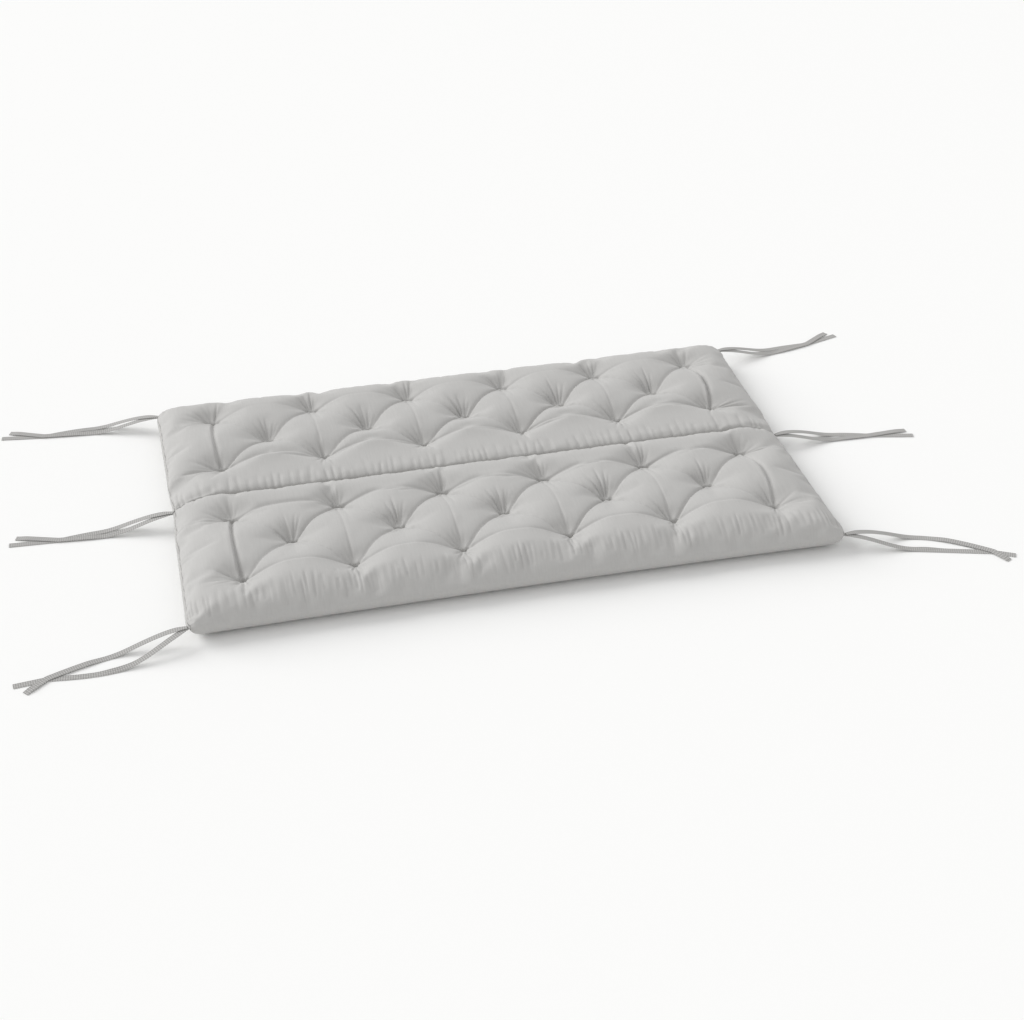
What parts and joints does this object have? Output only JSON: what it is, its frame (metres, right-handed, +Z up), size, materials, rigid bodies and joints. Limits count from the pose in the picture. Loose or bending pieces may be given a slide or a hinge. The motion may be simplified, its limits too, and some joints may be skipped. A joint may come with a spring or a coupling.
{
  "type": "bench cushion",
  "caption": "Tufted two-panel bench cushion with a sewn fold channel between seat and back, soft rolled edges and pairs of flat ties at its ends.",
  "frame": {"origin": "centre of the cushion's underside, on the surface it lies on", "axes": "+X along the bench, +Y from the seat panel's front edge towards the back panel, +Z up out of the tufted face"},
  "size_m": [2.2646, 1.1288, 0.0852],
  "materials": {
    "cushion_cloth": "plain-woven light grey cotton cloth, matt",
    "tie_tape": "ribbed woven light grey tape, matt"
  },
  "bodies": {
    "root": {"cushion": "cushion_cloth", "tie_front_left_back": "tie_tape", "tie_front_left_front": "tie_tape", "tie_front_right_back": "tie_tape", "tie_front_right_front": "tie_tape", "tie_middle_left_back": "tie_tape", "tie_middle_left_front": "tie_tape", "tie_middle_right_back": "tie_tape", "tie_middle_right_front": "tie_tape", "tie_back_left_back": "tie_tape", "tie_back_left_front": "tie_tape", "tie_back_right_back": "tie_tape", "tie_back_right_front": "tie_tape"}
  },
  "joints": []
}
